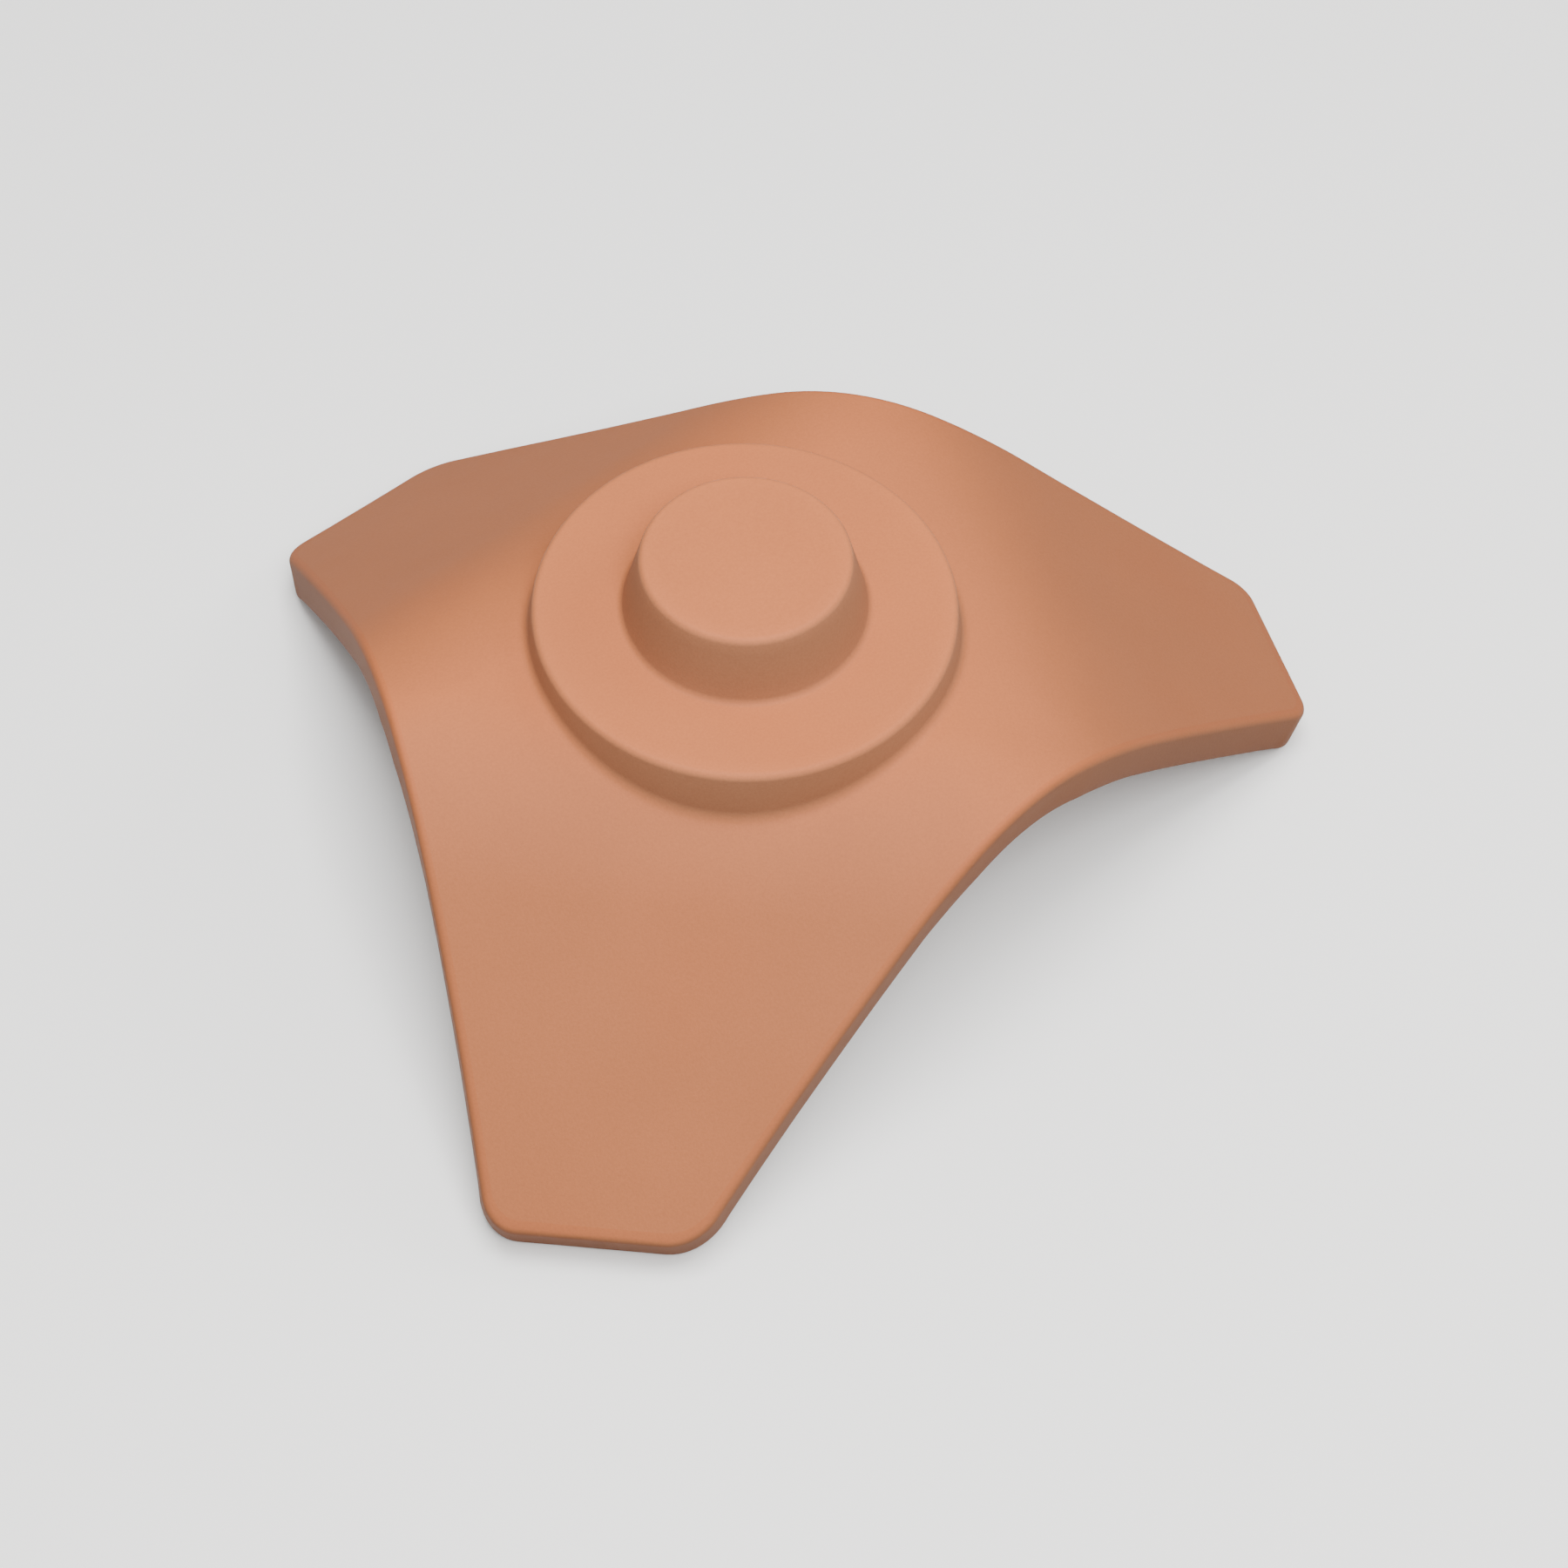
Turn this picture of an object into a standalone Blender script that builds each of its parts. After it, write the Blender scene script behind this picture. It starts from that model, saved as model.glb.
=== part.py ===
"""Clay ridge junction tile, one fired piece.

Three flat flaps fold down from a level crown. Between them the edge of the crown
makes three arched mouths, one for the ridge and two for the hips. A stepped boss
stands on the crown, and the underside is hollow, with the same wall all over.

Frame, in metres: +Z up, the floor at z = 0. +X runs along the end flap, opposite
the ridge mouth, and y = 0 is the plane of symmetry. The origin is at the centre
of the bounding box, on the floor.
"""

import math

import bmesh
import bpy
import numpy as np

# The three flaps, each measured in plan from the axis of the boss
FLAP_SLOPE = math.radians(37.2)
FLAP_RUN = 0.1253
END_FOLD = 0.0897
END_FOLD_RADIUS = 0.130
SIDE_FOLD = 0.0715
SIDE_FOLD_RADIUS = 0.101
SIDE_FLAP_TURN = math.radians(112.5)

# The three mouths between the flaps, with the slight hollow of their edges in plan
RIDGE_MOUTH = 0.1296
RIDGE_MOUTH_BOW_RADIUS = 1.22
HIP_MOUTH = 0.1203
HIP_MOUTH_TURN = math.radians(61.9)
HIP_MOUTH_BOW_RADIUS = 1.62

# The corners of the flaps in plan, and the edge that runs all round the tile
END_CORNER_RADIUS = 0.011
HIP_CORNER_RADIUS = 0.022
RIDGE_CORNER_RADIUS = 0.013
WALL = 0.0185
EDGE_DRAFT = math.radians(8.1)
EDGE_UPRIGHT_SHARE = 0.3
EDGE_TOP_ROUND = 0.003
EDGE_FOOT_ROUND = 0.003

# The stepped boss
DISC_RADIUS = 0.0744
DISC_FLARE = 0.0023
DISC_HEIGHT = 0.0119
BOSS_RADIUS = 0.0368
BOSS_FLARE = 0.0065
BOSS_HEIGHT = 0.0261
RIM_ROUND = 0.003
FOOT_ROUND = 0.0015

# How finely the skin is divided
MOUTH_STEPS = 18
END_STEPS = 5
CORNER_STEPS = 4
ROUND_STEPS = 3
CROWN_RINGS = 8
UNDERSIDE_RINGS = 7

SHARP_ANGLE = math.radians(30)
WELD_DISTANCE = 1e-6
HALVES_WELD_DISTANCE = 1e-4
SLOPE_STEP = 1e-5
CROSSING_SEARCH_STEPS = 50

CLAY_COLOUR = (0.545, 0.279, 0.168, 1.0)
CLAY_ROUGHNESS = 0.85


def turned(angle):
    """Unit vector in plan at an angle from +X."""
    return np.array([math.cos(angle), math.sin(angle)])


def fold_fall(past_fold, fold_radius):
    """How far the crown has fallen at a plan distance past a flap's fold line."""
    half_width = fold_radius * math.tan(FLAP_SLOPE / 2)
    fall = math.tan(FLAP_SLOPE)
    inside = np.clip(past_fold + half_width, 0.0, 2 * half_width)
    beyond = np.maximum(past_fold - half_width, 0.0)
    return fall * inside**2 / (4 * half_width) + fall * beyond


def crown(plan):
    """Height of the top skin above plan points, from the level middle."""
    end = fold_fall(plan @ turned(0.0) - END_FOLD, END_FOLD_RADIUS)
    left = fold_fall(plan @ turned(SIDE_FLAP_TURN) - SIDE_FOLD, SIDE_FOLD_RADIUS)
    right = fold_fall(plan @ turned(-SIDE_FLAP_TURN) - SIDE_FOLD, SIDE_FOLD_RADIUS)
    return -(end + left + right)


def on_crown(plan):
    """Points of the top skin over plan points."""
    return np.column_stack([plan, crown(plan)])


def crown_normals(plan):
    """Unit normals of the top skin over plan points."""
    along_x, along_y = [SLOPE_STEP, 0], [0, SLOPE_STEP]
    slope_x = (crown(plan + along_x) - crown(plan - along_x)) / (2 * SLOPE_STEP)
    slope_y = (crown(plan + along_y) - crown(plan - along_y)) / (2 * SLOPE_STEP)
    normals = np.column_stack([-slope_x, -slope_y, np.ones(len(plan))])
    return unit(normals)


def unit(vectors):
    return vectors / np.linalg.norm(vectors, axis=-1, keepdims=True)


def rounded(before, corner, after, radius, steps):
    """Points of the arc that rounds a corner between two straight runs, in 2D."""
    to_before = unit(np.subtract(before, corner))
    to_after = unit(np.subtract(after, corner))
    half = math.acos(float(np.clip(to_before @ to_after, -1.0, 1.0))) / 2
    centre = corner + unit(to_before + to_after) * radius / math.sin(half)
    start = corner + to_before * radius / math.tan(half) - centre
    end = corner + to_after * radius / math.tan(half) - centre
    sweep = math.pi - 2 * half
    shares = np.linspace(0.0, 1.0, steps + 1)
    return [
        centre + (start * math.sin((1 - s) * sweep) + end * math.sin(s * sweep)) / math.sin(sweep)
        for s in shares
    ]


class Mouth:
    """The edge of one mouth in plan: a shallow curve across a direction from the boss axis."""

    def __init__(self, distance, turn, bow_radius):
        self.distance = distance
        self.out = turned(turn)
        self.along = turned(turn + math.pi / 2)
        self.bow_radius = bow_radius

    def at(self, along):
        reach = self.distance + along**2 / (2 * self.bow_radius)
        return self.out * reach + self.along * along

    def meets(self, flap_out, flap_reach):
        """Distance along the mouth at which it crosses the end line of a flap."""
        low, high = sorted((0.0, math.copysign(flap_reach, self.along @ flap_out)))
        rising = self.at(high) @ flap_out > self.at(low) @ flap_out
        for _ in range(CROSSING_SEARCH_STEPS):
            middle = (low + high) / 2
            if (self.at(middle) @ flap_out < flap_reach) == rising:
                low = middle
            else:
                high = middle
        return (low + high) / 2


def flap_corner(mouth, flap_out, flap_reach, radius):
    """Rounded corner from a flap's end line to a mouth, and where the mouth takes over."""
    crossing = mouth.meets(flap_out, flap_reach)
    corner = mouth.at(crossing)
    inward = -math.copysign(radius, crossing)
    across = np.array([-flap_out[1], flap_out[0]])
    to_middle = across * -math.copysign(1.0, (corner @ across))
    arc = rounded(corner + to_middle, corner, mouth.at(crossing + inward), radius, CORNER_STEPS)
    taken_over = crossing + inward * np.linalg.norm(arc[-1] - corner) / radius
    return arc, taken_over


def half_outline():
    """Plan outline for y >= 0, from the middle of the end flap to the ridge mouth's middle."""
    end_out = turned(0.0)
    side_out = turned(SIDE_FLAP_TURN)
    end_reach = END_FOLD + FLAP_RUN
    side_reach = SIDE_FOLD + FLAP_RUN
    hip = Mouth(HIP_MOUTH, HIP_MOUTH_TURN, HIP_MOUTH_BOW_RADIUS)
    ridge = Mouth(RIDGE_MOUTH, math.pi, RIDGE_MOUTH_BOW_RADIUS)

    end_arc, hip_start = flap_corner(hip, end_out, end_reach, END_CORNER_RADIUS)
    hip_arc, hip_end = flap_corner(hip, side_out, side_reach, HIP_CORNER_RADIUS)
    ridge_arc, ridge_start = flap_corner(ridge, side_out, side_reach, RIDGE_CORNER_RADIUS)

    half_end = np.linspace(end_out * end_reach, end_arc[0], END_STEPS // 2 + 1)
    side_end = np.linspace(hip_arc[0], ridge_arc[0], END_STEPS + 1)
    hip_edge = [hip.at(along) for along in np.linspace(hip_start, hip_end, MOUTH_STEPS + 1)]
    ridge_edge = [ridge.at(along) for along in np.linspace(ridge_start, 0.0, MOUTH_STEPS // 2 + 1)]
    return np.array(
        [
            *half_end,
            *end_arc[1:],
            *hip_edge[1:],
            *hip_arc[-2::-1],
            *side_end[1:],
            *ridge_arc[1:],
            *ridge_edge[1:],
        ]
    )


def edge_frames(outline):
    """For each outline point: the point on the crown, the way out along the skin, the normal."""
    beyond = np.vstack([outline[1] * [1, -1], outline, outline[-2] * [1, -1]])
    tangents = on_crown(beyond[2:]) - on_crown(beyond[:-2])
    normals = crown_normals(outline)
    outs = unit(np.cross(tangents, normals))
    return on_crown(outline), outs, normals


def edge_section(out):
    """Rounded section of the rim, as (outward, along the normal), from the top skin down."""
    tilt = math.asin(float(np.clip(-out[2], -1.0, 1.0)))
    foot = np.array([WALL * math.tan(EDGE_DRAFT + EDGE_UPRIGHT_SHARE * tilt), -WALL])
    top = np.zeros(2)
    inside_top = np.array([-WALL, 0.0])
    inside_foot = np.array([-WALL, -WALL])
    return np.array(
        rounded(inside_top, top, foot, EDGE_TOP_ROUND, ROUND_STEPS)
        + rounded(top, foot, inside_foot, EDGE_FOOT_ROUND, ROUND_STEPS)
    )


def turned_ring(radius, height, spokes):
    """A level ring of the turned boss or its recess."""
    heights = np.full(len(spokes), height)
    return np.column_stack([spokes * radius, heights])


def boss_profile():
    """Radius and height of the stepped boss, from its top centre to the foot of the disc's rim."""
    top = DISC_HEIGHT + BOSS_HEIGHT
    boss_rim = (BOSS_RADIUS, top)
    boss_foot = (BOSS_RADIUS + BOSS_FLARE, DISC_HEIGHT)
    disc_rim = (DISC_RADIUS, DISC_HEIGHT)
    disc_foot = (DISC_RADIUS + DISC_FLARE, 0.0)
    return [
        (0.0, top),
        *rounded((0.0, top), boss_rim, boss_foot, RIM_ROUND, ROUND_STEPS),
        *rounded(boss_rim, boss_foot, disc_rim, FOOT_ROUND, ROUND_STEPS),
        *rounded(boss_foot, disc_rim, disc_foot, RIM_ROUND, ROUND_STEPS),
    ]


def recess_profile():
    """Radius and height of the hollow under the boss, one wall inside it, from the disc inwards."""
    disc_ceiling = DISC_HEIGHT - WALL
    boss_ceiling = disc_ceiling + BOSS_HEIGHT
    boss_foot = (BOSS_RADIUS + BOSS_FLARE - WALL, disc_ceiling)
    boss_rim = (BOSS_RADIUS - WALL, boss_ceiling)
    return [
        (DISC_RADIUS - WALL, disc_ceiling),
        boss_foot,
        *rounded(boss_foot, boss_rim, (0.0, boss_ceiling), RIM_ROUND, ROUND_STEPS),
        (0.0, boss_ceiling),
    ]


def skin_rings():
    """All rings of the half tile, outside from the boss top to the rim, then back underneath."""
    outline = half_outline()
    spokes = unit(outline)
    points, outs, normals = edge_frames(outline)
    sections = np.array([edge_section(out) for out in outs])
    rim = [
        points + outs * sections[:, k, :1] + normals * sections[:, k, 1:]
        for k in range(sections.shape[1])
    ]
    rim_inside_top = (points + outs * sections[:, 0, :1])[:, :2]
    rim_inside_foot = (points + outs * sections[:, -1, :1])[:, :2]

    disc_foot = spokes * (DISC_RADIUS + DISC_FLARE)
    shares = np.linspace(0.0, 1.0, CROWN_RINGS + 1)[:-1]
    crown_rings = [on_crown(disc_foot + (rim_inside_top - disc_foot) * share) for share in shares]

    recess_foot = spokes * (DISC_RADIUS + DISC_FLARE - WALL)
    shares = np.linspace(1.0, 0.0, UNDERSIDE_RINGS + 1)[1:]
    underside = []
    for share in shares:
        plan = recess_foot + (rim_inside_foot - recess_foot) * share
        underside.append(on_crown(plan) - crown_normals(plan) * WALL)

    boss = [turned_ring(radius, height, spokes) for radius, height in boss_profile()]
    recess = [turned_ring(radius, height, spokes) for radius, height in recess_profile()]
    return np.array([*boss, *crown_rings, *rim, *underside, *recess])


def settled(rings):
    """The same rings with the floor at z = 0 and the bounding box centred on x = 0."""
    middle_x = (rings[..., 0].min() + rings[..., 0].max()) / 2
    return rings - [middle_x, 0.0, rings[..., 2].min()]


def tile_mesh(name, rings):
    """Wrap a flat grid over the rings: one row of the grid for each ring."""
    ring_count, spoke_count = rings.shape[:2]
    mesh = bpy.data.meshes.new(name)
    grid = bmesh.new()
    bmesh.ops.create_grid(grid, x_segments=spoke_count - 1, y_segments=ring_count - 1, size=1.0)
    for vertex in grid.verts:
        spoke = round((vertex.co.x + 1) / 2 * (spoke_count - 1))
        ring = round((vertex.co.y + 1) / 2 * (ring_count - 1))
        vertex.co = rings[ring, spoke]
    bmesh.ops.remove_doubles(grid, verts=grid.verts, dist=WELD_DISTANCE)
    bmesh.ops.recalc_face_normals(grid, faces=grid.faces)
    grid.to_mesh(mesh)
    grid.free()
    mesh.shade_smooth()
    mesh.set_sharp_from_angle(angle=SHARP_ANGLE)
    return mesh


def clay():
    material = bpy.data.materials.new("fired_clay")
    material.use_nodes = True
    shader = material.node_tree.nodes["Principled BSDF"]
    shader.inputs["Base Color"].default_value = CLAY_COLOUR
    shader.inputs["Roughness"].default_value = CLAY_ROUGHNESS
    shader.inputs["Metallic"].default_value = 0.0
    return material


def build():
    for leftover in list(bpy.data.objects):
        bpy.data.objects.remove(leftover)
    name = "ridge_junction_tile"
    tile = bpy.data.objects.new(name, tile_mesh(name, settled(skin_rings())))
    tile.data.materials.append(clay())
    halves = tile.modifiers.new("other half", "MIRROR")
    halves.use_axis = (False, True, False)
    halves.merge_threshold = HALVES_WELD_DISTANCE
    collection = bpy.data.collections.new("clay_ridge_junction_tile")
    bpy.context.scene.collection.children.link(collection)
    collection.objects.link(tile)


build()
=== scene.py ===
"""Looks of the clay ridge junction tile: its fine clay skin, its finish and a plain studio.

The tile is one piece of fired clay. Three flaps fold down from a level crown, three
arched mouths open between them, and a stepped boss stands on the crown. Everything is
in metres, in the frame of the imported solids: +Z up, the floor at z = 0, +X along the
end flap, and y = 0 the plane of symmetry.
"""

import logging
import math
from dataclasses import dataclass, field
from enum import Enum

import bpy
import numpy as np
from mathutils import Matrix, Vector, noise


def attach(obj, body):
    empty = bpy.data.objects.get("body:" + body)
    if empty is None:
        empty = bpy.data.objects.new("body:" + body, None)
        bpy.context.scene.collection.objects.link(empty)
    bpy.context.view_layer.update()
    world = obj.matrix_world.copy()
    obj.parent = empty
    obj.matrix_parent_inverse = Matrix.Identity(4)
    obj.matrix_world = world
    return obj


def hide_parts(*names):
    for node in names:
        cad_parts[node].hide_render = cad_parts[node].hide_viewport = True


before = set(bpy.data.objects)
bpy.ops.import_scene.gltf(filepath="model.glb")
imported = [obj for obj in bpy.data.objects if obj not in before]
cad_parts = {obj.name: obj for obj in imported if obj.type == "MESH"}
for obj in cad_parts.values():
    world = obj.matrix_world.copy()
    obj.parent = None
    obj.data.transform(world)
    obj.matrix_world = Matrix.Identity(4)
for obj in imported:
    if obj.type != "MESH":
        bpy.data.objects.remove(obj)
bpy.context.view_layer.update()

LOG = logging.getLogger("ridge_junction_tile")
PICTURE_SIDE = 1800
SENSOR_WIDTH = 36.0
RIGHT_ANGLE = 90.0
SLOPE_STEP = 1e-5  # half the span over which a slope is taken
CROSSING_HALVINGS = 50
RIM_RINGS = (0.25, 0.5, 0.75)  # where the rings between the rim's two roundings lie
NOISE_LOW, NOISE_HIGH = 0.3, 0.7  # nearly all of a noise texture lies between these


class Mark(Enum):
    """What the skin carries from place to place, each from 0 to 1."""

    # The lean sets the painted light and shade of the clay: level skin lighter, leaning skin
    # darker
    LEAN = "lean"  # how far it tilts from level, 1 when upright
    # Painted shade: the end flap and the left flap made darker and browner
    PAINTED_FLAP_SHADE = "painted_flap_shade"  # how much browner the flap looks than the others
    # Painted highlight along the two upper arrises of the stepped boss
    ARRIS_HIGHLIGHT = "arris"  # the two upper arrises of the stepped boss
    # Sets the painted shade on the rim, deepest at the heel by the floor
    FOOT = "foot"  # down the rim, from its arris to its heel
    BED = "bed_side"  # the underside, hidden once the tile is bedded


def linear(srgb_hex: str) -> tuple[float, float, float, float]:
    """Turn an sRGB colour into linear light.

    Args:
        srgb_hex: Six hex digits, such as "C98E6E".

    Returns:
        Red, green, blue and an alpha of 1.
    """
    channels = [int(srgb_hex[at : at + 2], 16) / 255 for at in (0, 2, 4)]
    light = [c / 12.92 if c <= 0.04045 else ((c + 0.055) / 1.055) ** 2.4 for c in channels]
    return (light[0], light[1], light[2], 1.0)


def turned(angle: float) -> np.ndarray:
    """Unit vector in plan at an angle from +X."""
    return np.array([math.cos(angle), math.sin(angle)])


def per_metre(size_mm: float) -> float:
    """Scale of a pattern whose forms are some millimetres across."""
    return 1000.0 / size_mm


def unit(vectors: np.ndarray) -> np.ndarray:
    """The same vectors at length 1."""
    return vectors / np.linalg.norm(vectors, axis=-1, keepdims=True)


def rounded(
    before: tuple, corner: tuple, after: tuple, radius: float, steps: int
) -> list[np.ndarray]:
    """Round a corner between two straight runs, in 2D.

    Args:
        before: A point on the run that arrives.
        corner: The sharp corner.
        after: A point on the run that leaves.
        radius: Radius of the rounding.
        steps: Pieces of the arc.

    Returns:
        The points of the arc, its two ends included.
    """
    to_before = unit(np.subtract(before, corner))
    to_after = unit(np.subtract(after, corner))
    half = math.acos(float(np.clip(to_before @ to_after, -1.0, 1.0))) / 2
    centre = corner + unit(to_before + to_after) * radius / math.sin(half)
    start = corner + to_before * radius / math.tan(half) - centre
    end = corner + to_after * radius / math.tan(half) - centre
    sweep = math.pi - 2 * half
    return [
        centre + (start * math.sin((1 - s) * sweep) + end * math.sin(s * sweep)) / math.sin(sweep)
        for s in np.linspace(0.0, 1.0, steps + 1)
    ]


def filled_in(points: list, longest: float) -> list[np.ndarray]:
    """Add points to the long runs of a profile.

    Args:
        points: The profile, in 2D.
        longest: The longest step that may stay.

    Returns:
        The profile with every step at most that long.
    """
    dense = [np.asarray(points[0], float)]
    for end in points[1:]:
        start, end = dense[-1], np.asarray(end, float)
        pieces = max(1, math.ceil(np.linalg.norm(end - start) / longest))
        dense += [start + (end - start) * share for share in np.arange(1, pieces + 1) / pieces]
    return dense


@dataclass(frozen=True)
class Crown:
    """The top skin: a level middle from which three flat flaps fold down.

    Attributes:
        slope: Fall of each flap from level.
        flap_run: Plan distance from a fold to its flap's end.
        end_fold: Plan distance from the boss axis to the end flap's fold.
        end_fold_radius: Radius of the soft bend there.
        side_fold: Plan distance from the boss axis to each side flap's fold.
        side_fold_radius: Radius of the soft bend there.
        side_turn: Turn from the end flap to a side flap, in plan.
    """

    slope: float = math.radians(37.2)
    flap_run: float = 0.1253
    end_fold: float = 0.0897
    end_fold_radius: float = 0.130
    side_fold: float = 0.0715
    side_fold_radius: float = 0.101
    side_turn: float = math.radians(112.5)

    def fall(self, past_fold: np.ndarray, radius: float) -> np.ndarray:
        """How far the skin has fallen at a plan distance past a fold of some radius."""
        half_width = radius * math.tan(self.slope / 2)
        steepness = math.tan(self.slope)
        inside = np.clip(past_fold + half_width, 0.0, 2 * half_width)
        beyond = np.maximum(past_fold - half_width, 0.0)
        return steepness * inside**2 / (4 * half_width) + steepness * beyond

    def heights(self, plan: np.ndarray) -> np.ndarray:
        """Heights of the skin over plan points, from the level middle."""
        end = self.fall(plan @ turned(0.0) - self.end_fold, self.end_fold_radius)
        sides = [
            self.fall(plan @ turned(turn) - self.side_fold, self.side_fold_radius)
            for turn in (self.side_turn, -self.side_turn)
        ]
        return -(end + sum(sides))

    def points(self, plan: np.ndarray) -> np.ndarray:
        """Points of the skin over plan points."""
        return np.column_stack([plan, self.heights(plan)])

    def normals(self, plan: np.ndarray) -> np.ndarray:
        """Unit normals of the skin over plan points."""
        east, north = np.array([SLOPE_STEP, 0.0]), np.array([0.0, SLOPE_STEP])
        span = 2 * SLOPE_STEP
        slope_x = (self.heights(plan + east) - self.heights(plan - east)) / span
        slope_y = (self.heights(plan + north) - self.heights(plan - north)) / span
        return unit(np.column_stack([-slope_x, -slope_y, np.ones(len(plan))]))


@dataclass(frozen=True)
class Mouth:
    """The edge of one mouth in plan: a shallow curve across a direction from the boss axis.

    Attributes:
        distance: From the boss axis to the curve's nearest point.
        turn: Direction of the mouth, from +X.
        bow_radius: Radius of the shallow curve.
        steps: Pieces that the edge is divided into.
    """

    distance: float
    turn: float
    bow_radius: float
    steps: int = 110

    def at(self, along: float) -> np.ndarray:
        """Plan point of the edge at a distance along it."""
        reach = self.distance + along**2 / (2 * self.bow_radius)
        return turned(self.turn) * reach + turned(self.turn + math.pi / 2) * along

    def meets(self, flap_out: np.ndarray, flap_reach: float) -> float:
        """Distance along the mouth at which it crosses the end line of a flap."""
        sideways = turned(self.turn + math.pi / 2)
        low, high = sorted((0.0, math.copysign(flap_reach, sideways @ flap_out)))
        rising = self.at(high) @ flap_out > self.at(low) @ flap_out
        for _ in range(CROSSING_HALVINGS):
            middle = (low + high) / 2
            if (self.at(middle) @ flap_out < flap_reach) == rising:
                low = middle
            else:
                high = middle
        return (low + high) / 2


@dataclass(frozen=True)
class Rim:
    """The edge that runs all round the tile.

    Attributes:
        wall: Thickness of the clay.
        draft: How far the rim leans out from square to the skin.
        upright_share: Share of the skin's tilt that the rim takes back towards upright.
        top_round: Radius of the upper arris.
        foot_round: Radius of the lower arris.
        steps: Pieces of each rounding.
    """

    wall: float = 0.0185
    draft: float = math.radians(8.1)
    upright_share: float = 0.3
    top_round: float = 0.003
    foot_round: float = 0.003
    steps: int = 6

    def section(self, out: np.ndarray) -> np.ndarray:
        """Section of the rim, as (outward, along the normal), from the top skin down.

        Args:
            out: Unit vector out of the tile, along its skin.

        Returns:
            Points of the section, in order.
        """
        tilt = math.asin(float(np.clip(-out[2], -1.0, 1.0)))
        lean = math.tan(self.draft + self.upright_share * tilt)
        foot = (self.wall * lean, -self.wall)
        arris = rounded((-self.wall, 0.0), (0.0, 0.0), foot, self.top_round, self.steps)
        heel = rounded((0.0, 0.0), foot, (-self.wall, -self.wall), self.foot_round, self.steps)
        upright = [arris[-1] + (heel[0] - arris[-1]) * share for share in RIM_RINGS]
        return np.array([*arris, *upright, *heel])


@dataclass(frozen=True)
class Boss:
    """The stepped boss, turned about the tile's vertical axis.

    Attributes:
        disc_radius: Radius of the disc's rim.
        disc_flare: How much wider the disc is at its foot.
        disc_height: Height of the disc over the crown.
        radius: Radius of the boss's rim.
        flare: How much wider the boss is at its foot.
        height: Height of the boss over the disc.
        rim_round: Radius of the two upper arrises.
        foot_round: Radius of the hollow where the boss meets the disc.
        disc_foot_round: Radius of the hollow where the disc meets the crown.
        steps: Pieces of each rounding.
        longest: Longest step that the profile takes.
    """

    disc_radius: float = 0.0744
    disc_flare: float = 0.0023
    disc_height: float = 0.0119
    radius: float = 0.0368
    flare: float = 0.0065
    height: float = 0.0261
    rim_round: float = 0.003
    foot_round: float = 0.0025
    disc_foot_round: float = 0.003
    steps: int = 6
    longest: float = 0.005

    def profile(self) -> list[np.ndarray]:
        """Radius and height from the top's centre to the lower end of the disc's rim."""
        top = self.disc_height + self.height
        boss_rim = (self.radius, top)
        boss_foot = (self.radius + self.flare, self.disc_height)
        disc_rim = (self.disc_radius, self.disc_height)
        disc_foot = (self.disc_radius + self.disc_flare, 0.0)
        return filled_in(
            [
                (0.0, top),
                *rounded((0.0, top), boss_rim, boss_foot, self.rim_round, self.steps),
                *rounded(boss_rim, boss_foot, disc_rim, self.foot_round, self.steps),
                *rounded(boss_foot, disc_rim, disc_foot, self.rim_round, self.steps),
            ],
            self.longest,
        )

    def hollow(self, wall: float) -> list[np.ndarray]:
        """Radius and height of the recess under the boss, one wall inside it, going inwards."""
        disc_ceiling = self.disc_height - wall
        boss_ceiling = disc_ceiling + self.height
        boss_foot = (self.radius + self.flare - wall, disc_ceiling)
        boss_rim = (self.radius - wall, boss_ceiling)
        soft = self.rim_round
        return filled_in(
            [
                (self.disc_radius - wall, disc_ceiling),
                *rounded(
                    (self.disc_radius, disc_ceiling), boss_foot, boss_rim, soft, self.steps
                ),
                *rounded(boss_foot, boss_rim, (0.0, boss_ceiling), soft, self.steps),
                (0.0, boss_ceiling),
            ],
            self.longest,
        )


@dataclass(frozen=True)
class NodeTools:
    """Adds nodes to one material."""

    tree: bpy.types.NodeTree

    def add(self, kind: str, settings: dict | None = None, **inputs) -> bpy.types.Node:
        """Add a node.

        Args:
            kind: The node's type.
            settings: Values of its properties.
            **inputs: Values or sockets for its inputs. An underscore stands for a space,
                and a name that starts with "at" and a number gives the input's place.

        Returns:
            The new node.
        """
        node = self.tree.nodes.new(kind)
        for name, value in (settings or {}).items():
            setattr(node, name, value)
        for name, value in inputs.items():
            place = name[2:]
            by_place = name.startswith("at") and place.isdigit()
            socket = node.inputs[int(place) if by_place else name.replace("_", " ")]
            if isinstance(value, bpy.types.NodeSocket):
                self.tree.links.new(value, socket)
            else:
                socket.default_value = value
        return node

    def mark(self, mark: Mark) -> bpy.types.NodeSocket:
        """Read one of the skin's marks."""
        return self.add("ShaderNodeAttribute", {"attribute_name": mark.value}).outputs["Fac"]

    def filtered(
        self,
        colour: bpy.types.NodeSocket,
        keeps: str,
        amount: bpy.types.NodeSocket,
    ) -> bpy.types.NodeSocket:
        """Filter a colour.

        Args:
            colour: The colour that comes in.
            keeps: What the full filter lets through, as six hex digits.
            amount: How much of the filter is felt.

        Returns:
            The filtered colour.
        """
        mix = self.add(
            "ShaderNodeMix",
            {"data_type": "RGBA", "blend_type": "MULTIPLY"},
            at0=amount,
            at6=colour,
            at7=linear(keeps),
        )
        return mix.outputs[2]


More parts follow.
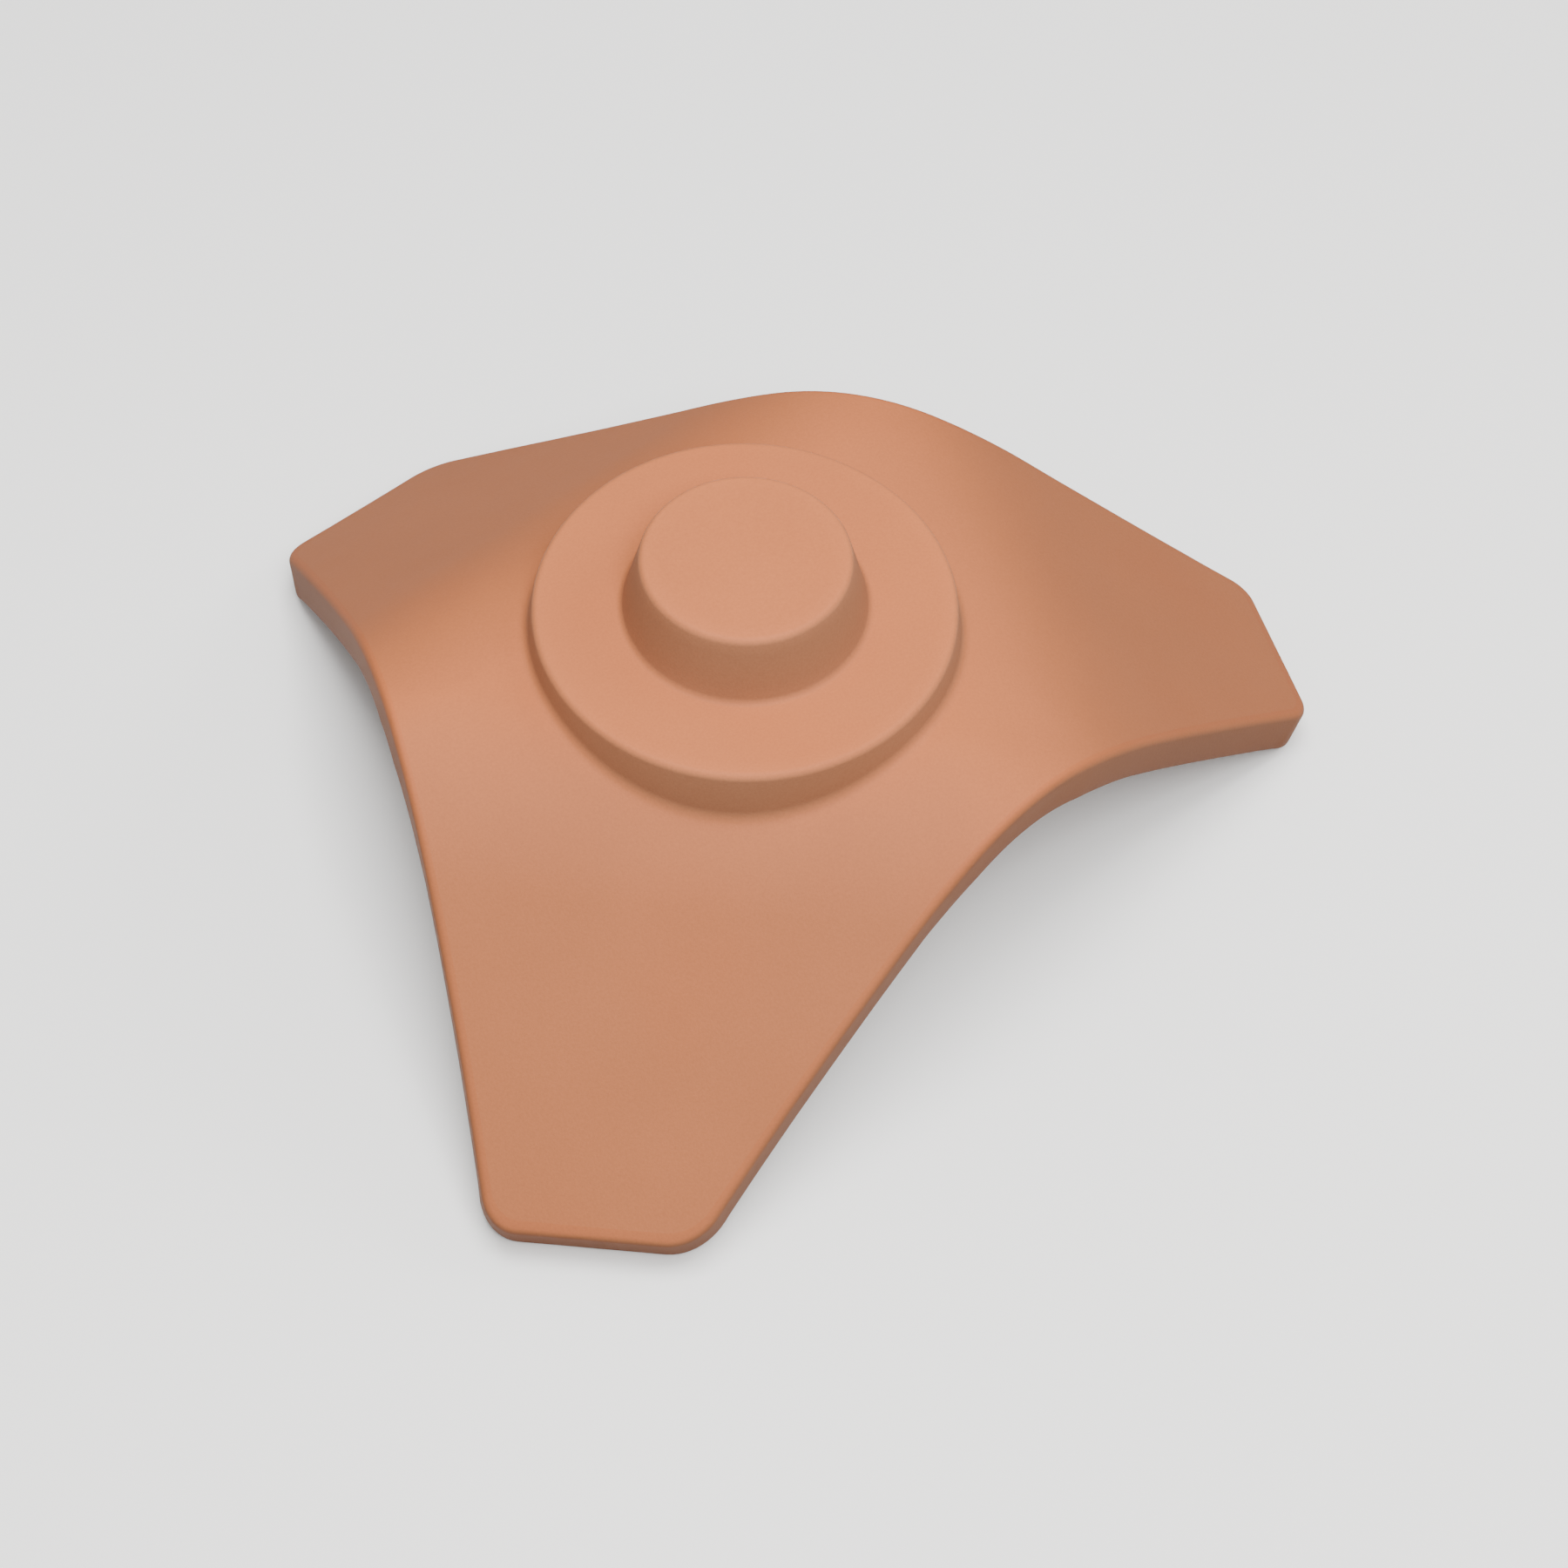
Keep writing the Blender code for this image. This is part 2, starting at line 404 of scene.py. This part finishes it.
@dataclass(frozen=True)
class Terracotta:
    """Unglazed red clay, pressed in a mould and fired: matt, even, with fine sand in it.

    Attributes:
        level: Skin that lies level, warmest and brightest, as painted light.
        flap: Skin of the flaps, darker, as painted shade of their tilt.
        steep: Skin of the boss's sides and of the rim, a little browner and darker, as painted
            shade of their steepness.
        painted_flap_shade: What the painted shade takes from the end flap and the left flap, as a
            filter.
        rim_top_shade: Painted shade on the rim just under its arris, as a filter.
        rim_heel_shade: Painted shade at its heel by the floor, where it is darkest.
        bed: What the underside loses, as a filter.
        warm: What the warmer patches let through, as a filter.
        flap_tilt: Tilt in degrees at which the skin has the flaps' colour.
        steep_tilt: Tilt in degrees from which it has the steep one.
        patch_mm: Size of the warmer patches.
        patch_from: Noise value at which a patch begins.
        patch_full: Noise value at which it is at its strongest.
        patch_most: How strong it is there.
        cloud_mm: Size of the soft clouds.
        grain_mm: Size at which the fine sand is drawn. Real grains are taken as 0.3 to
            0.6 mm, which is too fine to show.
        grain_depth: How far the sand stands out.
        grain_strength: How much of that is felt.
        arris_highlight: Painted highlight: how much paler the two upper arrises of the boss are.
        cloud_strength: How far the soft clouds lighten or darken the clay.
        speck_strength: How far single grains do.
        roughness: Roughness of the dry pressed skin.
        ior: Refractive index, a typical one for a ceramic.
        sheen: Strength of its faint gloss.
    """

    # Painted light and shade by tilt: the level colour is lit, the flap and steep colours are
    # shaded
    level: str = "AF6338"
    flap: str = "A05E38"
    steep: str = "986648"
    # Painted shade filter for the end flap and the left flap
    painted_flap_shade: str = "E7E9ED"
    # Painted shade on the rim, darkest at its heel
    rim_top_shade: str = "FFF7EF"
    rim_heel_shade: str = "D7CEC4"
    bed: str = "F7F7F8"
    warm: str = "FFF8F1"
    flap_tilt: float = 37.0
    steep_tilt: float = 78.0
    patch_mm: float = 62.5
    patch_from: float = 0.5
    patch_full: float = 0.75
    patch_most: float = 0.5
    cloud_mm: float = 50.0
    grain_mm: float = 10 / 11
    grain_depth: float = 0.0002
    grain_strength: float = 0.25
    # Painted highlight on the boss's two upper arrises
    arris_highlight: float = 0.22
    cloud_strength: float = 0.025
    speck_strength: float = 0.05
    roughness: float = 0.7
    ior: float = 1.5
    sheen: float = 0.3

    def material(self) -> bpy.types.Material:
        """Build the clay as a node material."""
        clay = bpy.data.materials.new("unglazed_terracotta")
        clay.use_nodes = True
        tools = NodeTools(clay.node_tree)
        shader = clay.node_tree.nodes["Principled BSDF"]
        place = tools.add("ShaderNodeTexCoord").outputs["Object"]
        # Fitted to the photograph's tones: the further the skin leans, the browner it is
        # Painted light and shade: level skin lighter and warmer, leaning skin darker and browner
        tint = tools.add("ShaderNodeValToRGB", Fac=tools.mark(Mark.LEAN))
        ramp = tint.color_ramp
        ramp.elements[0].position, ramp.elements[0].color = 0.0, linear(self.level)
        ramp.elements[1].position = self.steep_tilt / RIGHT_ANGLE
        ramp.elements[1].color = linear(self.steep)
        ramp.elements.new(self.flap_tilt / RIGHT_ANGLE).color = linear(self.flap)
        # Painted shade on two flaps, painted shade on the rim that darkens to its heel, and the
        # plainer underside
        foot = tools.mark(Mark.FOOT)
        on_rim = tools.add("ShaderNodeMath", {"operation": "GREATER_THAN"}, at0=foot, at1=0.001)
        colour = tools.filtered(tint.outputs["Color"], self.painted_flap_shade, tools.mark(Mark.PAINTED_FLAP_SHADE))
        # Painted shade on the rim, deepening towards its heel by the floor
        colour = tools.filtered(colour, self.rim_top_shade, on_rim.outputs["Value"])
        colour = tools.filtered(colour, self.rim_heel_shade, foot)
        colour = tools.filtered(colour, self.bed, tools.mark(Mark.BED))
        patches = tools.add(
            "ShaderNodeTexNoise", Vector=place, Scale=per_metre(self.patch_mm), Detail=1.0
        )
        warmth = tools.add(
            "ShaderNodeMapRange",
            Value=patches.outputs["Fac"],
            From_Min=self.patch_from,
            From_Max=self.patch_full,
            To_Max=self.patch_most,
        )
        colour = tools.filtered(colour, self.warm, warmth.outputs["Result"])
        clouds = tools.add(
            "ShaderNodeTexNoise", Vector=place, Scale=per_metre(self.cloud_mm), Detail=2.0
        )
        grain = tools.add(
            "ShaderNodeTexNoise",
            Vector=place,
            Scale=per_metre(self.grain_mm),
            Detail=2.0,
            Roughness=0.6,
        )
        # Painted highlight on the boss's arrises, times random clouds and specks
        shade = tools.add(
            "ShaderNodeMath",
            {"operation": "MULTIPLY_ADD"},
            at0=tools.mark(Mark.ARRIS_HIGHLIGHT),
            at1=self.arris_highlight,
            at2=1.0,
        ).outputs["Value"]
        for source, strength in ((clouds, self.cloud_strength), (grain, self.speck_strength)):
            swing = tools.add(
                "ShaderNodeMapRange",
                Value=source.outputs["Fac"],
                From_Min=NOISE_LOW,
                From_Max=NOISE_HIGH,
                To_Min=1.0 - strength,
                To_Max=1.0 + strength,
            )
            shade = tools.add(
                "ShaderNodeMath", {"operation": "MULTIPLY"}, at0=shade, at1=swing.outputs["Result"]
            ).outputs["Value"]
        shaded = tools.add(
            "ShaderNodeVectorMath", {"operation": "SCALE"}, at0=colour, Scale=shade
        )
        clay.node_tree.links.new(shaded.outputs["Vector"], shader.inputs["Base Color"])
        bump = tools.add(
            "ShaderNodeBump",
            Height=grain.outputs["Fac"],
            Strength=self.grain_strength,
            Distance=self.grain_depth,
        )
        clay.node_tree.links.new(bump.outputs["Normal"], shader.inputs["Normal"])
        shader.inputs["Roughness"].default_value = self.roughness
        shader.inputs["Metallic"].default_value = 0.0
        shader.inputs["IOR"].default_value = self.ior
        shader.inputs["Specular IOR Level"].default_value = self.sheen
        return clay


@dataclass
class JunctionTile:
    """The tile itself, one piece of clay.

    Attributes:
        crown: Its top skin.
        ridge_mouth: The mouth that the ridge enters.
        hip_mouth: The left one of the two mouths that the hips enter.
        rim: The edge all round.
        boss: The stepped boss.
        end_corner: Radius of the end flap's corners in plan.
        hip_corner: Radius of the side flaps' corners beside the hips.
        ridge_corner: Radius of the side flaps' corners beside the ridge.
        waviness: How far the pressed skin wanders from true.
        drift_mm: Size of its broad waves.
        ripple_mm: Size of the small waves on them.
        ripple_share: Height of the small waves, as a share of the broad ones.
        flap_shade_before: How far before its fold a flap's painted shade begins.
        flap_shade_run: Over what distance the painted shade sets in.
        end_flap_shade: How strong the painted shade on the end flap is.
        left_flap_shade: How strong the painted shade on the left flap is.
        rim_flap_shade_cut: How much weaker the painted flap shade is on the rim than on the flap
            above it.
        rim_flap_shade_cut_rate: How fast that sets in down the rim.
        arris_highlight_width: Reach of the painted highlight on the two upper arrises of the boss.
        corner_steps: Pieces of each corner in plan.
        end_steps: Pieces of each flap's end line.
        crown_rings: Rings of the mesh between the disc and the rim.
        underside_rings: Rings of the mesh between the rim and the recess.
    """

    crown: Crown = field(default_factory=Crown)
    ridge_mouth: Mouth = field(default_factory=lambda: Mouth(0.1296, math.pi, 1.22))
    hip_mouth: Mouth = field(default_factory=lambda: Mouth(0.1203, math.radians(61.9), 1.62))
    rim: Rim = field(default_factory=Rim)
    boss: Boss = field(default_factory=Boss)
    end_corner: float = 0.011
    hip_corner: float = 0.022
    ridge_corner: float = 0.013
    waviness: float = 0.00025
    drift_mm: float = 1000 / 18
    ripple_mm: float = 1000 / 75
    ripple_share: float = 0.18
    # Painted shade on the end flap and the left flap, weaker on the rim
    flap_shade_before: float = 0.010
    flap_shade_run: float = 0.045
    end_flap_shade: float = 1.0
    left_flap_shade: float = 0.85
    rim_flap_shade_cut: float = 0.7
    rim_flap_shade_cut_rate: float = 4.0
    # Reach of the painted highlight on the boss's arrises
    arris_highlight_width: float = 0.002
    corner_steps: int = 12
    end_steps: int = 40
    crown_rings: int = 56
    underside_rings: int = 40

    def corner(
        self, mouth: Mouth, flap_out: np.ndarray, flap_reach: float, radius: float
    ) -> tuple[list[np.ndarray], float]:
        """Round the corner from a flap's end line to a mouth.

        Args:
            mouth: The mouth.
            flap_out: Direction of the flap in plan.
            flap_reach: Plan distance from the boss axis to the flap's end line.
            radius: Radius of the corner.

        Returns:
            The arc, and the distance along the mouth at which the mouth takes over.
        """
        crossing = mouth.meets(flap_out, flap_reach)
        corner = mouth.at(crossing)
        inward = -math.copysign(radius, crossing)
        across = np.array([-flap_out[1], flap_out[0]])
        to_middle = across * -math.copysign(1.0, (corner @ across))
        arc = rounded(
            corner + to_middle, corner, mouth.at(crossing + inward), radius, self.corner_steps
        )
        return arc, crossing + inward * np.linalg.norm(arc[-1] - corner) / radius

    def outline(self) -> np.ndarray:
        """Plan outline of the whole tile, once round from the middle of the end flap."""
        end_out, side_out = turned(0.0), turned(self.crown.side_turn)
        end_reach = self.crown.end_fold + self.crown.flap_run
        side_reach = self.crown.side_fold + self.crown.flap_run
        hip, ridge = self.hip_mouth, self.ridge_mouth
        end_arc, hip_start = self.corner(hip, end_out, end_reach, self.end_corner)
        hip_arc, hip_end = self.corner(hip, side_out, side_reach, self.hip_corner)
        ridge_arc, ridge_start = self.corner(ridge, side_out, side_reach, self.ridge_corner)
        half_end = np.linspace(end_out * end_reach, end_arc[0], self.end_steps // 2 + 1)
        side_end = np.linspace(hip_arc[0], ridge_arc[0], self.end_steps + 1)
        hip_edge = [hip.at(a) for a in np.linspace(hip_start, hip_end, hip.steps + 1)]
        ridge_edge = [ridge.at(a) for a in np.linspace(ridge_start, 0.0, ridge.steps // 2 + 1)]
        half = np.array(
            [
                *half_end,
                *end_arc[1:],
                *hip_edge[1:],
                *hip_arc[-2::-1],
                *side_end[1:],
                *ridge_arc[1:],
                *ridge_edge[1:],
            ]
        )
        return np.concatenate([half, half[-2:0:-1] * [1, -1]])

    def rings(self) -> tuple[np.ndarray, int, int]:
        """All rings of the skin, from the top of the boss, over the rim, to the recess.

        Returns:
            The rings, one row of points each, and the numbers of the first one on the rim
            and the first one underneath.
        """
        outline = self.outline()
        spokes = unit(outline)
        on_skin, normals = self.crown.points(outline), self.crown.normals(outline)
        tangents = np.roll(on_skin, -1, axis=0) - np.roll(on_skin, 1, axis=0)
        outs = unit(np.cross(tangents, normals))
        sections = np.array([self.rim.section(out) for out in outs])
        rim = [
            on_skin + outs * sections[:, k, :1] + normals * sections[:, k, 1:]
            for k in range(sections.shape[1])
        ]
        inside_top = (on_skin + outs * sections[:, 0, :1])[:, :2]
        inside_foot = (on_skin + outs * sections[:, -1, :1])[:, :2]

        foot_radius = self.boss.disc_radius + self.boss.disc_flare
        disc_foot = spokes * foot_radius
        shares = np.linspace(0.0, 1.0, self.crown_rings + 1)[1:-1]
        soft = self.boss.disc_foot_round
        boss = [
            np.column_stack([spokes * radius, np.full(len(spokes), height)])
            for radius, height in self.boss.profile()
        ]
        blend = self.disc_foot_blend(spokes, disc_foot, boss[-1], soft)
        start = blend[-1][:, :2]
        crown = [self.crown.points(start + (inside_top - start) * share) for share in shares]

        recess_foot = spokes * (foot_radius - self.rim.wall)
        shares = np.linspace(1.0, 0.0, self.underside_rings + 1)[1:]
        underside = []
        for share in shares:
            plan = recess_foot + (inside_foot - recess_foot) * share
            underside.append(
                self.crown.points(plan) - self.crown.normals(plan) * self.rim.wall
            )
        recess = [
            np.column_stack([spokes * radius, np.full(len(spokes), height)])
            for radius, height in self.boss.hollow(self.rim.wall)
        ]
        over = [*boss, *blend, *crown]
        rows = np.array([*over, *rim, *underside, *recess])
        return rows, len(over), len(over) + len(rim)

    def disc_foot_blend(
        self, spokes: np.ndarray, foot: np.ndarray, side: np.ndarray, soft: float
    ) -> list[np.ndarray]:
        """Hollow fillet where the disc's side runs into the crown.

        Args:
            spokes: Plan directions of the mesh's columns.
            foot: Plan points at which the disc's side would meet the crown.
            side: Points at the lower end of the disc's rounded rim.
            soft: Radius of the fillet.

        Returns:
            Rings of the fillet, from the disc's side out to the crown.
        """
        corner = self.crown.points(foot)
        up = unit(side - corner)
        away = foot + spokes * soft
        start = corner + up * soft
        end = self.crown.points(away)
        shares = np.linspace(0.0, 1.0, self.boss.steps + 1)
        return [
            start * (1 - s) ** 2 + corner * 2 * s * (1 - s) + end * s**2 for s in shares
        ]

    def wander(self, points: np.ndarray, normals: np.ndarray) -> np.ndarray:
        """Let the skin sink by up to about half a millimetre here and there."""
        drift, ripple = (
            np.array([noise.noise(Vector(point) * per_metre(size)) for point in points])
            for size in (self.drift_mm, self.ripple_mm)
        )
        sunk = np.clip((drift + ripple * self.ripple_share - 1.0) * self.waviness, None, 0.0)
        return points + normals * sunk[:, None]

    def marks(self, points: np.ndarray, normals: np.ndarray) -> dict[Mark, np.ndarray]:
        """Marks that follow from where the skin is and how it leans.

        Args:
            points: Points of the skin, from the boss axis and the crown's level.
            normals: Unit normals there.

        Returns:
            The lean, the painted shade of the flaps and the painted highlight of the arrises.
        """
        # The lean sets the painted light and shade of the clay's colour
        lean = np.arccos(np.clip(np.abs(normals[:, 2]), 0.0, 1.0)) / (math.pi / 2)
        plan = points[:, :2]
        # Painted shade, strongest on the end flap, then on the left flap
        painted_flap_shade = np.zeros(len(points))
        for turn, fold, most in (
            (0.0, self.crown.end_fold, self.end_flap_shade),
            (self.crown.side_turn, self.crown.side_fold, self.left_flap_shade),
        ):
            past_start = plan @ turned(turn) - fold + self.flap_shade_before
            share = np.clip(past_start / self.flap_shade_run, 0.0, 1.0)
            painted_flap_shade = np.maximum(painted_flap_shade, most * share * share * (3.0 - 2.0 * share))
        # Painted highlight along the boss's two upper arrises
        radial = np.linalg.norm(plan, axis=1)
        top = self.boss.disc_height + self.boss.height
        rims = ((self.boss.radius, top), (self.boss.disc_radius, self.boss.disc_height))
        arris = sum(
            np.exp(
                -((radial - radius) ** 2 + (points[:, 2] - height) ** 2) / self.arris_highlight_width**2
            )
            for radius, height in rims
        )
        return {Mark.LEAN: lean, Mark.PAINTED_FLAP_SHADE: painted_flap_shade, Mark.ARRIS_HIGHLIGHT: arris}

    def mesh(self) -> bpy.types.Mesh:
        """Skin mesh of the whole tile, settled on the floor and centred as the solids are."""
        rings, first_rim, first_underneath = self.rings()
        ring_count, spoke_count = rings.shape[:2]
        middle_x = (rings[..., 0].min() + rings[..., 0].max()) / 2
        crown_height = -rings[..., 2].min()
        rings = rings + [-middle_x, 0.0, crown_height]
        # The first and the last ring are single points, the poles of the mesh
        inner = rings[1:-1].reshape(-1, 3)
        top_pole, low_pole = len(inner), len(inner) + 1
        points = np.vstack([inner, rings[0, 0], rings[-1, 0]])
        columns = np.arange(spoke_count)
        following = np.roll(columns, -1)
        faces: list[tuple[int, ...]] = []
        for row in range(ring_count - 3):
            here, there = row * spoke_count, (row + 1) * spoke_count
            faces += [
                (int(here + a), int(there + a), int(there + b), int(here + b))
                for a, b in zip(columns, following)
            ]
        last = (ring_count - 3) * spoke_count
        faces += [(top_pole, int(a), int(b)) for a, b in zip(columns, following)]
        faces += [(low_pole, int(last + b), int(last + a)) for a, b in zip(columns, following)]
        mesh = bpy.data.meshes.new("ridge_junction_tile_skin")
        mesh.from_pydata(points.tolist(), [], faces)
        mesh.update()
        mesh.shade_smooth()
        normals = np.empty(len(points) * 3)
        mesh.vertex_normals.foreach_get("vector", normals)
        moved = self.wander(points, normals.reshape(-1, 3))
        mesh.vertices.foreach_set("co", moved.astype(np.float32).reshape(-1))
        mesh.update()
        row = np.append(np.arange(1, ring_count - 1).repeat(spoke_count), (0, ring_count - 1))
        from_boss = points + [middle_x, 0.0, -crown_height]
        marks = self.marks(from_boss, normals.reshape(-1, 3))
        on_rim = (row >= first_rim) & (row < first_underneath)
        heel = first_underneath - 1
        # How far down the rim a point lies, for the rim's painted shade
        down_rim = np.where(on_rim, (row - first_rim + 1) / (heel - first_rim + 1), 0.0)
        marks[Mark.FOOT] = down_rim
        # The rim takes less of the painted flap shade down from its arris
        paled = np.minimum(1.0, self.rim_flap_shade_cut_rate * down_rim)
        marks[Mark.PAINTED_FLAP_SHADE] *= 1.0 - self.rim_flap_shade_cut * paled
        marks[Mark.BED] = (row >= first_underneath).astype(float)
        for mark, values in marks.items():
            layer = mesh.attributes.new(mark.value, "FLOAT", "POINT")
            layer.data.foreach_set("value", values.astype(np.float32))
        return mesh

    def build(self, finish: Terracotta) -> bpy.types.Object:
        """Build the tile, dress it and give it its place in the frame.

        Args:
            finish: The clay.

        Returns:
            The tile's object.
        """
        tile = bpy.data.objects.new("ridge_junction_tile_skin", self.mesh())
        bpy.context.scene.collection.objects.link(tile)
        tile.data.materials.append(finish.material())
        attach(tile, "root")
        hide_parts("ridge_junction_tile")
        return tile


@dataclass(frozen=True)
class SoftLight:
    """One square studio lamp.

    Attributes:
        name: What the lamp is called.
        place: Where it stands.
        width: Side of its square.
        power: Its power in watts.
    """

    name: str
    place: tuple[float, float, float]
    width: float
    power: float

    def build(self, target: Vector) -> None:
        """Hang the lamp and point it at a target."""
        data = bpy.data.lights.new(self.name, "AREA")
        data.shape = "SQUARE"
        data.size = self.width
        data.energy = self.power
        lamp = bpy.data.objects.new(self.name, data)
        lamp.location = self.place
        lamp.rotation_euler = (target - Vector(self.place)).to_track_quat("-Z", "Y").to_euler()
        bpy.context.scene.collection.objects.link(lamp)


@dataclass
class Studio:
    """A pale floor, soft lamps and the camera at the photograph's angle.

    Attributes:
        azimuth: Turn of the camera about the tile, from the side at -Y.
        elevation: Its height over the horizon.
        roll: Its roll.
        distance: From the middle of the crown, under the boss, to the camera.
        right: How far that point lies right of the picture's centre, at its distance.
        up: How far it lies above the centre.
        focal_pixels: Focal length in pixels of the full picture.
        crown_middle: That point in the frame.
        floor: Colour of the floor.
        floor_half: Half its side.
        floor_roughness: Its roughness.
        lamps: The softboxes.
        room_above: Strength of the room's light from above the horizon.
        room_below: Its strength from below.
        dim_under: Height of a direction, 1 straight up, below which the room is dim.
        bright_over: Height of a direction above which it is bright.
    """

    azimuth: float = -18.850
    elevation: float = 54.682
    roll: float = 1.735
    distance: float = 1.29
    right: float = -0.01373
    up: float = 0.05597
    focal_pixels: float = 4219.8
    crown_middle: tuple[float, float, float] = (-0.03816, 0.0, 0.11181)
    floor: str = "FBFAF8"
    floor_half: float = 6.0
    floor_roughness: float = 0.9
    lamps: tuple[SoftLight, ...] = (
        SoftLight("overhead_softbox", (-0.038, 0.0, 2.112), 1.1, 54.9),
        SoftLight("front_softbox", (-0.038, -1.06, 1.808), 0.8, 36.7),
        SoftLight("right_softbox", (1.538, 0.0, 1.343), 0.8, 9.8),
    )
    room_above: float = 0.47
    room_below: float = 0.1
    dim_under: float = -0.1
    bright_over: float = 0.05

    def place_camera(self) -> None:
        """Stand the camera where the photograph was taken from."""
        az, el, roll = (math.radians(a) for a in (self.azimuth, self.elevation, self.roll))
        back = Vector(
            (math.sin(az) * math.cos(el), -math.cos(az) * math.cos(el), math.sin(el))
        )
        level = Vector((math.cos(az), math.sin(az), 0.0))
        upward = back.cross(level)
        right = math.cos(roll) * level + math.sin(roll) * upward
        up = -math.sin(roll) * level + math.cos(roll) * upward
        eye = Vector(self.crown_middle) - self.right * right - self.up * up + self.distance * back
        data = bpy.data.cameras.new("camera")
        data.sensor_width = SENSOR_WIDTH
        data.sensor_fit = "HORIZONTAL"
        data.lens = SENSOR_WIDTH * self.focal_pixels / PICTURE_SIDE
        camera = bpy.data.objects.new("camera", data)
        turn = Matrix((right, up, back)).transposed().to_4x4()
        camera.matrix_world = Matrix.Translation(eye) @ turn
        bpy.context.scene.collection.objects.link(camera)
        bpy.context.scene.camera = camera

    def lay_floor(self) -> None:
        """Lay the pale floor."""
        half = self.floor_half
        mesh = bpy.data.meshes.new("studio_floor")
        corners = [(-half, -half, 0.0), (half, -half, 0.0), (half, half, 0.0), (-half, half, 0.0)]
        mesh.from_pydata(corners, [], [(0, 1, 2, 3)])
        floor = bpy.data.objects.new("studio_floor", mesh)
        paper = bpy.data.materials.new("pale_paper")
        paper.use_nodes = True
        shader = paper.node_tree.nodes["Principled BSDF"]
        shader.inputs["Base Color"].default_value = linear(self.floor)
        shader.inputs["Roughness"].default_value = self.floor_roughness
        mesh.materials.append(paper)
        # The floor gives the clay no soft light, a choice made while its tones were fitted
        floor.visible_diffuse = False
        bpy.context.scene.collection.objects.link(floor)

    def light(self) -> None:
        """Hang the lamps and set the light of the room."""
        for lamp in self.lamps:
            lamp.build(Vector(self.crown_middle))
        world = bpy.data.worlds.new("studio_room")
        world.use_nodes = True
        room = world.node_tree.nodes["Background"]
        room.inputs["Color"].default_value = linear("FFFFFF")
        # Rays that pass the floor unseen find the room dim below the horizon
        tools = NodeTools(world.node_tree)
        way = tools.add("ShaderNodeTexCoord").outputs["Generated"]
        height = tools.add("ShaderNodeSeparateXYZ", Vector=way).outputs["Z"]
        fade = tools.add(
            "ShaderNodeMapRange",
            Value=height,
            From_Min=self.dim_under,
            From_Max=self.bright_over,
            To_Min=self.room_below,
            To_Max=self.room_above,
        )
        world.node_tree.links.new(fade.outputs["Result"], room.inputs["Strength"])
        bpy.context.scene.world = world

    def build(self) -> None:
        """Set up the whole studio."""
        self.place_camera()
        self.lay_floor()
        self.light()


def main() -> None:
    """Build the tile and the studio, and log what was built."""
    logging.basicConfig(level=logging.INFO, format="%(message)s")
    Studio().build()
    LOG.info("studio: floor, lamps and camera")
    tile = JunctionTile().build(Terracotta())
    LOG.info("%s: %d faces", tile.name, len(tile.data.polygons))


if __name__ == "__main__":
    main()
